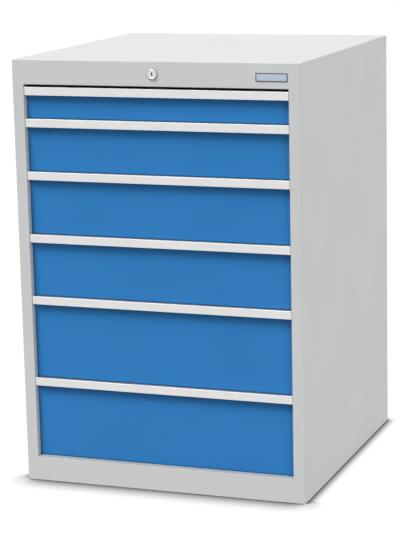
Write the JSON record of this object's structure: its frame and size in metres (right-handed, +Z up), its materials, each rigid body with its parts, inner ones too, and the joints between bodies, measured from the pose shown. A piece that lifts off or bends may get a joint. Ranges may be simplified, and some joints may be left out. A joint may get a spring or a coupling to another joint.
{
  "type": "industrial drawer cabinet",
  "caption": "Floor-standing sheet-steel cabinet with a stack of full-width drawers on telescopic rails, strip grips and a central lock that bars them all.",
  "frame": {"origin": "on the floor, at the centre of the housing's footprint", "axes": "+Z up; the front faces -Y; +X is the right-hand side seen from the front"},
  "size_m": [0.705, 0.74, 1.019],
  "materials": {
    "housing_paint": "light grey powder coat",
    "front_paint": "blue powder coat",
    "grip_aluminium": "satin anodised",
    "zinc_steel": "zinc plated",
    "lock_nickel": "nickel plated",
    "plate_border": "satin, printed blue"
  },
  "bodies": {
    "cabinet": {"side_panel_left": "housing_paint", "side_panel_right": "housing_paint", "top_panel": "housing_paint", "base_panel": "housing_paint", "back_panel": "housing_paint", "upright_front_left": "zinc_steel", "upright_front_right": "zinc_steel", "upright_rear_left": "zinc_steel", "upright_rear_right": "zinc_steel", "nameplate": "plate_border", "lock_barrel": "lock_nickel", "lock_nut": "zinc_steel", "lock_shaft_bracket": "zinc_steel", "lock_guide_upper": "zinc_steel", "lock_guide_lower": "zinc_steel", "drawer_1_case_rail_left": "zinc_steel", "drawer_1_case_rail_right": "zinc_steel", "drawer_2_case_rail_left": "zinc_steel", "drawer_2_case_rail_right": "zinc_steel", "drawer_3_case_rail_left": "zinc_steel", "drawer_3_case_rail_right": "zinc_steel", "drawer_4_case_rail_left": "zinc_steel", "drawer_4_case_rail_right": "zinc_steel", "drawer_5_case_rail_left": "zinc_steel", "drawer_5_case_rail_right": "zinc_steel", "drawer_6_case_rail_left": "zinc_steel", "drawer_6_case_rail_right": "zinc_steel"},
    "drawer_1": {"drawer_1_front": "front_paint", "drawer_1_grip": "grip_aluminium", "drawer_1_box": "housing_paint"},
    "middle_rails_1": {"drawer_1_middle_rail_left": "zinc_steel", "drawer_1_middle_rail_right": "zinc_steel"},
    "drawer_2": {"drawer_2_front": "front_paint", "drawer_2_grip": "grip_aluminium", "drawer_2_box": "housing_paint"},
    "middle_rails_2": {"drawer_2_middle_rail_left": "zinc_steel", "drawer_2_middle_rail_right": "zinc_steel"},
    "drawer_3": {"drawer_3_front": "front_paint", "drawer_3_grip": "grip_aluminium", "drawer_3_box": "housing_paint"},
    "middle_rails_3": {"drawer_3_middle_rail_left": "zinc_steel", "drawer_3_middle_rail_right": "zinc_steel"},
    "drawer_4": {"drawer_4_front": "front_paint", "drawer_4_grip": "grip_aluminium", "drawer_4_box": "housing_paint"},
    "middle_rails_4": {"drawer_4_middle_rail_left": "zinc_steel", "drawer_4_middle_rail_right": "zinc_steel"},
    "drawer_5": {"drawer_5_front": "front_paint", "drawer_5_grip": "grip_aluminium", "drawer_5_box": "housing_paint"},
    "middle_rails_5": {"drawer_5_middle_rail_left": "zinc_steel", "drawer_5_middle_rail_right": "zinc_steel"},
    "drawer_6": {"drawer_6_front": "front_paint", "drawer_6_grip": "grip_aluminium", "drawer_6_box": "housing_paint"},
    "middle_rails_6": {"drawer_6_middle_rail_left": "zinc_steel", "drawer_6_middle_rail_right": "zinc_steel"},
    "lock_turn": {"lock_plug": "lock_nickel", "lock_shaft": "zinc_steel"},
    "lock_slide": {"lock_bar": "zinc_steel"}
  },
  "joints": [
    {"name": "drawer_1_slide", "type": "slide", "parent": "cabinet", "child": "drawer_1", "axis": [0, -1, 0], "range_m": [0, 0.6]},
    {"name": "middle_rails_1_slide", "type": "slide", "parent": "cabinet", "child": "middle_rails_1", "axis": [0, -1, 0], "range_m": [0, 0.3]},
    {"name": "drawer_2_slide", "type": "slide", "parent": "cabinet", "child": "drawer_2", "axis": [0, -1, 0], "range_m": [0, 0.6]},
    {"name": "middle_rails_2_slide", "type": "slide", "parent": "cabinet", "child": "middle_rails_2", "axis": [0, -1, 0], "range_m": [0, 0.3]},
    {"name": "drawer_3_slide", "type": "slide", "parent": "cabinet", "child": "drawer_3", "axis": [0, -1, 0], "range_m": [0, 0.6]},
    {"name": "middle_rails_3_slide", "type": "slide", "parent": "cabinet", "child": "middle_rails_3", "axis": [0, -1, 0], "range_m": [0, 0.3]},
    {"name": "drawer_4_slide", "type": "slide", "parent": "cabinet", "child": "drawer_4", "axis": [0, -1, 0], "range_m": [0, 0.6]},
    {"name": "middle_rails_4_slide", "type": "slide", "parent": "cabinet", "child": "middle_rails_4", "axis": [0, -1, 0], "range_m": [0, 0.3]},
    {"name": "drawer_5_slide", "type": "slide", "parent": "cabinet", "child": "drawer_5", "axis": [0, -1, 0], "range_m": [0, 0.6]},
    {"name": "middle_rails_5_slide", "type": "slide", "parent": "cabinet", "child": "middle_rails_5", "axis": [0, -1, 0], "range_m": [0, 0.3]},
    {"name": "drawer_6_slide", "type": "slide", "parent": "cabinet", "child": "drawer_6", "axis": [0, -1, 0], "range_m": [0, 0.6]},
    {"name": "middle_rails_6_slide", "type": "slide", "parent": "cabinet", "child": "middle_rails_6", "axis": [0, -1, 0], "range_m": [0, 0.3]},
    {"name": "lock_bar_slide", "type": "slide", "parent": "cabinet", "child": "lock_slide", "axis": [0, 0, -1], "range_m": [0, 0.0113]},
    {"name": "lock_turn_hinge", "type": "hinge", "parent": "cabinet", "child": "lock_turn", "pos_m": [0, -0.368, 0.9905], "axis": [0, 1, 0], "range_deg": [0, 90]}
  ],
  "couplings": [
    {"joint": "middle_rails_1_slide", "follows": "drawer_1_slide", "ratio": 0.5},
    {"joint": "middle_rails_2_slide", "follows": "drawer_2_slide", "ratio": 0.5},
    {"joint": "middle_rails_3_slide", "follows": "drawer_3_slide", "ratio": 0.5},
    {"joint": "middle_rails_4_slide", "follows": "drawer_4_slide", "ratio": 0.5},
    {"joint": "middle_rails_5_slide", "follows": "drawer_5_slide", "ratio": 0.5},
    {"joint": "middle_rails_6_slide", "follows": "drawer_6_slide", "ratio": 0.5},
    {"joint": "lock_turn_hinge", "follows": "lock_bar_slide", "rad_per_m": 138.84}
  ]
}
